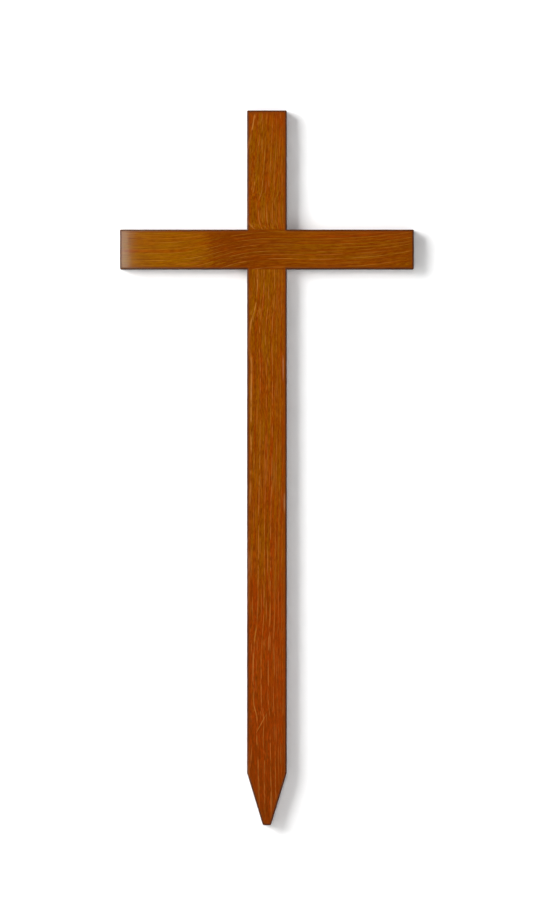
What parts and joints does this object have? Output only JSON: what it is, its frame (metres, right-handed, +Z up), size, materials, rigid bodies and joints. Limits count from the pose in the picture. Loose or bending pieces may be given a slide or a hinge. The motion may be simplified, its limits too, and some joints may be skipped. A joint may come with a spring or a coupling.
{
  "type": "wooden grave cross",
  "caption": "Slim latin cross of two stained and varnished boards halved together flush, its post cut to a point to be driven into the ground.",
  "frame": {"origin": "middle of the flat tip that the post's point is cut off to, halfway through the board's thickness", "axes": "+Z up along the post, +X along the crossbar to the right as seen from the front, front face towards -Y"},
  "size_m": [0.37, 0.02, 0.9],
  "materials": {
    "post_wood": "satin",
    "crossbar_wood": "satin"
  },
  "bodies": {
    "root": {"post": "post_wood", "crossbar": "crossbar_wood"}
  },
  "joints": []
}
